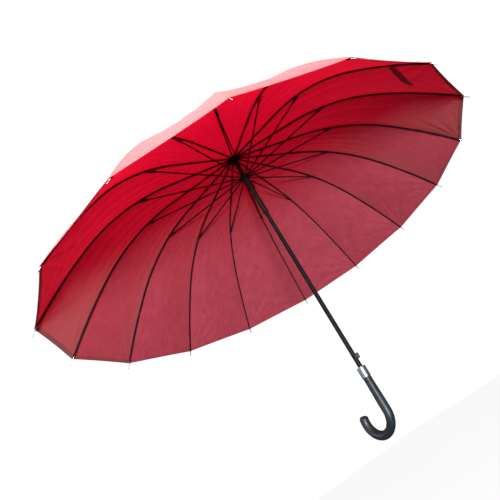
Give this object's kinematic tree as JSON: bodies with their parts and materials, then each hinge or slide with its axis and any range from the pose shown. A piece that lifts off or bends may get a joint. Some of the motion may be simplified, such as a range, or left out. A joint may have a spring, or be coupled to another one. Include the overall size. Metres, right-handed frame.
{
  "type": "stick umbrella",
  "caption": "Open stick umbrella with curved channel ribs, a sliding runner, a release button on the shaft and a crook handle.",
  "frame": {"origin": "middle of the grip on the shaft's axis, where a hand holds the umbrella", "axes": "+Z along the shaft towards the spike; +X the way the crook opens; the button faces -X"},
  "size_m": [1.0404, 1.0404, 0.808],
  "materials": {
    "black_steel": "glossy black coating",
    "satin_metal": "satin",
    "wire": "bright drawn wire",
    "black_plastic": "smooth moulded",
    "button_plastic": "matte moulded",
    "handle_cover": "satin dark blue-black",
    "canopy_cloth": "red woven polyester",
    "strap_cloth": "dark woven"
  },
  "bodies": {
    "shaft_assembly": {"shaft": "black_steel", "handle": "handle_cover", "collar": "satin_metal", "crown": "black_plastic", "crown_wire": "wire", "rosette": "black_plastic", "spike": "black_plastic", "opening_spring": "wire"},
    "runner_assembly": {"runner": "black_plastic", "runner_wire": "wire"},
    "button": {"release_button": "button_plastic"},
    "rib_arm_01": {"rib_01": "black_steel", "canopy_01": "canopy_cloth"},
    "stretcher_arm_01": {"stretcher_01": "black_steel"},
    "rib_arm_02": {"rib_02": "black_steel", "canopy_02": "canopy_cloth", "closing_strap": "strap_cloth"},
    "stretcher_arm_02": {"stretcher_02": "black_steel"},
    "rib_arm_03": {"rib_03": "black_steel", "canopy_03": "canopy_cloth"},
    "stretcher_arm_03": {"stretcher_03": "black_steel"},
    "rib_arm_04": {"rib_04": "black_steel", "canopy_04": "canopy_cloth"},
    "stretcher_arm_04": {"stretcher_04": "black_steel"},
    "rib_arm_05": {"rib_05": "black_steel", "canopy_05": "canopy_cloth"},
    "stretcher_arm_05": {"stretcher_05": "black_steel"},
    "rib_arm_06": {"rib_06": "black_steel", "canopy_06": "canopy_cloth"},
    "stretcher_arm_06": {"stretcher_06": "black_steel"},
    "rib_arm_07": {"rib_07": "black_steel", "canopy_07": "canopy_cloth"},
    "stretcher_arm_07": {"stretcher_07": "black_steel"},
    "rib_arm_08": {"rib_08": "black_steel", "canopy_08": "canopy_cloth"},
    "stretcher_arm_08": {"stretcher_08": "black_steel"},
    "rib_arm_09": {"rib_09": "black_steel", "canopy_09": "canopy_cloth"},
    "stretcher_arm_09": {"stretcher_09": "black_steel"},
    "rib_arm_10": {"rib_10": "black_steel", "canopy_10": "canopy_cloth"},
    "stretcher_arm_10": {"stretcher_10": "black_steel"},
    "rib_arm_11": {"rib_11": "black_steel", "canopy_11": "canopy_cloth"},
    "stretcher_arm_11": {"stretcher_11": "black_steel"},
    "rib_arm_12": {"rib_12": "black_steel", "canopy_12": "canopy_cloth"},
    "stretcher_arm_12": {"stretcher_12": "black_steel"},
    "rib_arm_13": {"rib_13": "black_steel", "canopy_13": "canopy_cloth"},
    "stretcher_arm_13": {"stretcher_13": "black_steel"},
    "rib_arm_14": {"rib_14": "black_steel", "canopy_14": "canopy_cloth"},
    "stretcher_arm_14": {"stretcher_14": "black_steel"},
    "rib_arm_15": {"rib_15": "black_steel", "canopy_15": "canopy_cloth"},
    "stretcher_arm_15": {"stretcher_15": "black_steel"},
    "rib_arm_16": {"rib_16": "black_steel", "canopy_16": "canopy_cloth"},
    "stretcher_arm_16": {"stretcher_16": "black_steel"}
  },
  "joints": [
    {"name": "runner_slide", "type": "slide", "parent": "shaft_assembly", "child": "runner_assembly", "axis": [0, 0, -1], "range_m": [0, 0.41211], "stiffness_N_per_m": 45, "springref_m": -0.3, "deforming": ["opening_spring", "rib_01", "canopy_01", "rib_02", "canopy_02", "closing_strap", "rib_03", "canopy_03", "rib_04", "canopy_04", "rib_05", "canopy_05", "rib_06", "canopy_06", "rib_07", "canopy_07", "rib_08", "canopy_08", "rib_09", "canopy_09", "rib_10", "canopy_10", "rib_11", "canopy_11", "rib_12", "canopy_12", "rib_13", "canopy_13", "rib_14", "canopy_14", "rib_15", "canopy_15", "rib_16", "canopy_16"]},
    {"name": "button_press", "type": "slide", "parent": "shaft_assembly", "child": "button", "axis": [1, 0, 0], "range_m": [0, 0.003], "stiffness_N_per_m": 600, "springref_m": -0.002},
    {"name": "rib_hinge_01", "type": "hinge", "parent": "shaft_assembly", "child": "rib_arm_01", "pos_m": [-0.01005, 0.00305, 0.65864], "axis": [-0.2903, -0.9569, 0], "range_deg": [0, 61.38]},
    {"name": "stretcher_hinge_01", "type": "hinge", "parent": "runner_assembly", "child": "stretcher_arm_01", "pos_m": [-0.01005, 0.00305, 0.597], "axis": [0.2903, 0.9569, 0], "range_deg": [0, 70.32]},
    {"name": "rib_hinge_02", "type": "hinge", "parent": "shaft_assembly", "child": "rib_arm_02", "pos_m": [-0.01045, -0.00103, 0.65864], "axis": [0.098, -0.9952, 0], "range_deg": [0, 61.38]},
    {"name": "stretcher_hinge_02", "type": "hinge", "parent": "runner_assembly", "child": "stretcher_arm_02", "pos_m": [-0.01045, -0.00103, 0.597], "axis": [-0.098, 0.9952, 0], "range_deg": [0, 70.32]},
    {"name": "rib_hinge_03", "type": "hinge", "parent": "shaft_assembly", "child": "rib_arm_03", "pos_m": [-0.00926, -0.00495, 0.65864], "axis": [0.4714, -0.8819, 0], "range_deg": [0, 61.38]},
    {"name": "stretcher_hinge_03", "type": "hinge", "parent": "runner_assembly", "child": "stretcher_arm_03", "pos_m": [-0.00926, -0.00495, 0.597], "axis": [-0.4714, 0.8819, 0], "range_deg": [0, 70.32]},
    {"name": "rib_hinge_04", "type": "hinge", "parent": "shaft_assembly", "child": "rib_arm_04", "pos_m": [-0.00666, -0.00812, 0.65864], "axis": [0.773, -0.6344, 0], "range_deg": [0, 61.38]},
    {"name": "stretcher_hinge_04", "type": "hinge", "parent": "runner_assembly", "child": "stretcher_arm_04", "pos_m": [-0.00666, -0.00812, 0.597], "axis": [-0.773, 0.6344, 0], "range_deg": [0, 70.32]},
    {"name": "rib_hinge_05", "type": "hinge", "parent": "shaft_assembly", "child": "rib_arm_05", "pos_m": [-0.00305, -0.01005, 0.65864], "axis": [0.9569, -0.2903, 0], "range_deg": [0, 61.38]},
    {"name": "stretcher_hinge_05", "type": "hinge", "parent": "runner_assembly", "child": "stretcher_arm_05", "pos_m": [-0.00305, -0.01005, 0.597], "axis": [-0.9569, 0.2903, 0], "range_deg": [0, 70.32]},
    {"name": "rib_hinge_06", "type": "hinge", "parent": "shaft_assembly", "child": "rib_arm_06", "pos_m": [0.00103, -0.01045, 0.65864], "axis": [0.9952, 0.098, 0], "range_deg": [0, 61.38]},
    {"name": "stretcher_hinge_06", "type": "hinge", "parent": "runner_assembly", "child": "stretcher_arm_06", "pos_m": [0.00103, -0.01045, 0.597], "axis": [-0.9952, -0.098, 0], "range_deg": [0, 70.32]},
    {"name": "rib_hinge_07", "type": "hinge", "parent": "shaft_assembly", "child": "rib_arm_07", "pos_m": [0.00495, -0.00926, 0.65864], "axis": [0.8819, 0.4714, 0], "range_deg": [0, 61.38]},
    {"name": "stretcher_hinge_07", "type": "hinge", "parent": "runner_assembly", "child": "stretcher_arm_07", "pos_m": [0.00495, -0.00926, 0.597], "axis": [-0.8819, -0.4714, 0], "range_deg": [0, 70.32]},
    {"name": "rib_hinge_08", "type": "hinge", "parent": "shaft_assembly", "child": "rib_arm_08", "pos_m": [0.00812, -0.00666, 0.65864], "axis": [0.6344, 0.773, 0], "range_deg": [0, 61.38]},
    {"name": "stretcher_hinge_08", "type": "hinge", "parent": "runner_assembly", "child": "stretcher_arm_08", "pos_m": [0.00812, -0.00666, 0.597], "axis": [-0.6344, -0.773, 0], "range_deg": [0, 70.32]},
    {"name": "rib_hinge_09", "type": "hinge", "parent": "shaft_assembly", "child": "rib_arm_09", "pos_m": [0.01005, -0.00305, 0.65864], "axis": [0.2903, 0.9569, 0], "range_deg": [0, 61.38]},
    {"name": "stretcher_hinge_09", "type": "hinge", "parent": "runner_assembly", "child": "stretcher_arm_09", "pos_m": [0.01005, -0.00305, 0.597], "axis": [-0.2903, -0.9569, 0], "range_deg": [0, 70.32]},
    {"name": "rib_hinge_10", "type": "hinge", "parent": "shaft_assembly", "child": "rib_arm_10", "pos_m": [0.01045, 0.00103, 0.65864], "axis": [-0.098, 0.9952, 0], "range_deg": [0, 61.38]},
    {"name": "stretcher_hinge_10", "type": "hinge", "parent": "runner_assembly", "child": "stretcher_arm_10", "pos_m": [0.01045, 0.00103, 0.597], "axis": [0.098, -0.9952, 0], "range_deg": [0, 70.32]},
    {"name": "rib_hinge_11", "type": "hinge", "parent": "shaft_assembly", "child": "rib_arm_11", "pos_m": [0.00926, 0.00495, 0.65864], "axis": [-0.4714, 0.8819, 0], "range_deg": [0, 61.38]},
    {"name": "stretcher_hinge_11", "type": "hinge", "parent": "runner_assembly", "child": "stretcher_arm_11", "pos_m": [0.00926, 0.00495, 0.597], "axis": [0.4714, -0.8819, 0], "range_deg": [0, 70.32]},
    {"name": "rib_hinge_12", "type": "hinge", "parent": "shaft_assembly", "child": "rib_arm_12", "pos_m": [0.00666, 0.00812, 0.65864], "axis": [-0.773, 0.6344, 0], "range_deg": [0, 61.38]},
    {"name": "stretcher_hinge_12", "type": "hinge", "parent": "runner_assembly", "child": "stretcher_arm_12", "pos_m": [0.00666, 0.00812, 0.597], "axis": [0.773, -0.6344, 0], "range_deg": [0, 70.32]},
    {"name": "rib_hinge_13", "type": "hinge", "parent": "shaft_assembly", "child": "rib_arm_13", "pos_m": [0.00305, 0.01005, 0.65864], "axis": [-0.9569, 0.2903, 0], "range_deg": [0, 61.38]},
    {"name": "stretcher_hinge_13", "type": "hinge", "parent": "runner_assembly", "child": "stretcher_arm_13", "pos_m": [0.00305, 0.01005, 0.597], "axis": [0.9569, -0.2903, 0], "range_deg": [0, 70.32]},
    {"name": "rib_hinge_14", "type": "hinge", "parent": "shaft_assembly", "child": "rib_arm_14", "pos_m": [-0.00103, 0.01045, 0.65864], "axis": [-0.9952, -0.098, 0], "range_deg": [0, 61.38]},
    {"name": "stretcher_hinge_14", "type": "hinge", "parent": "runner_assembly", "child": "stretcher_arm_14", "pos_m": [-0.00103, 0.01045, 0.597], "axis": [0.9952, 0.098, 0], "range_deg": [0, 70.32]},
    {"name": "rib_hinge_15", "type": "hinge", "parent": "shaft_assembly", "child": "rib_arm_15", "pos_m": [-0.00495, 0.00926, 0.65864], "axis": [-0.8819, -0.4714, 0], "range_deg": [0, 61.38]},
    {"name": "stretcher_hinge_15", "type": "hinge", "parent": "runner_assembly", "child": "stretcher_arm_15", "pos_m": [-0.00495, 0.00926, 0.597], "axis": [0.8819, 0.4714, 0], "range_deg": [0, 70.32]},
    {"name": "rib_hinge_16", "type": "hinge", "parent": "shaft_assembly", "child": "rib_arm_16", "pos_m": [-0.00812, 0.00666, 0.65864], "axis": [-0.6344, -0.773, 0], "range_deg": [0, 61.38]},
    {"name": "stretcher_hinge_16", "type": "hinge", "parent": "runner_assembly", "child": "stretcher_arm_16", "pos_m": [-0.00812, 0.00666, 0.597], "axis": [0.6344, 0.773, 0], "range_deg": [0, 70.32]}
  ],
  "couplings": [
    {"joint": "rib_hinge_01", "follows": "runner_slide", "rad_per_m": 2.5993},
    {"joint": "stretcher_hinge_01", "follows": "runner_slide", "rad_per_m": 2.9775},
    {"joint": "rib_hinge_02", "follows": "runner_slide", "rad_per_m": 2.5993},
    {"joint": "stretcher_hinge_02", "follows": "runner_slide", "rad_per_m": 2.9775},
    {"joint": "rib_hinge_03", "follows": "runner_slide", "rad_per_m": 2.5993},
    {"joint": "stretcher_hinge_03", "follows": "runner_slide", "rad_per_m": 2.9775},
    {"joint": "rib_hinge_04", "follows": "runner_slide", "rad_per_m": 2.5993},
    {"joint": "stretcher_hinge_04", "follows": "runner_slide", "rad_per_m": 2.9775},
    {"joint": "rib_hinge_05", "follows": "runner_slide", "rad_per_m": 2.5993},
    {"joint": "stretcher_hinge_05", "follows": "runner_slide", "rad_per_m": 2.9775},
    {"joint": "rib_hinge_06", "follows": "runner_slide", "rad_per_m": 2.5993},
    {"joint": "stretcher_hinge_06", "follows": "runner_slide", "rad_per_m": 2.9775},
    {"joint": "rib_hinge_07", "follows": "runner_slide", "rad_per_m": 2.5993},
    {"joint": "stretcher_hinge_07", "follows": "runner_slide", "rad_per_m": 2.9775},
    {"joint": "rib_hinge_08", "follows": "runner_slide", "rad_per_m": 2.5993},
    {"joint": "stretcher_hinge_08", "follows": "runner_slide", "rad_per_m": 2.9775},
    {"joint": "rib_hinge_09", "follows": "runner_slide", "rad_per_m": 2.5993},
    {"joint": "stretcher_hinge_09", "follows": "runner_slide", "rad_per_m": 2.9775},
    {"joint": "rib_hinge_10", "follows": "runner_slide", "rad_per_m": 2.5993},
    {"joint": "stretcher_hinge_10", "follows": "runner_slide", "rad_per_m": 2.9775},
    {"joint": "rib_hinge_11", "follows": "runner_slide", "rad_per_m": 2.5993},
    {"joint": "stretcher_hinge_11", "follows": "runner_slide", "rad_per_m": 2.9775},
    {"joint": "rib_hinge_12", "follows": "runner_slide", "rad_per_m": 2.5993},
    {"joint": "stretcher_hinge_12", "follows": "runner_slide", "rad_per_m": 2.9775},
    {"joint": "rib_hinge_13", "follows": "runner_slide", "rad_per_m": 2.5993},
    {"joint": "stretcher_hinge_13", "follows": "runner_slide", "rad_per_m": 2.9775},
    {"joint": "rib_hinge_14", "follows": "runner_slide", "rad_per_m": 2.5993},
    {"joint": "stretcher_hinge_14", "follows": "runner_slide", "rad_per_m": 2.9775},
    {"joint": "rib_hinge_15", "follows": "runner_slide", "rad_per_m": 2.5993},
    {"joint": "stretcher_hinge_15", "follows": "runner_slide", "rad_per_m": 2.9775},
    {"joint": "rib_hinge_16", "follows": "runner_slide", "rad_per_m": 2.5993},
    {"joint": "stretcher_hinge_16", "follows": "runner_slide", "rad_per_m": 2.9775}
  ]
}
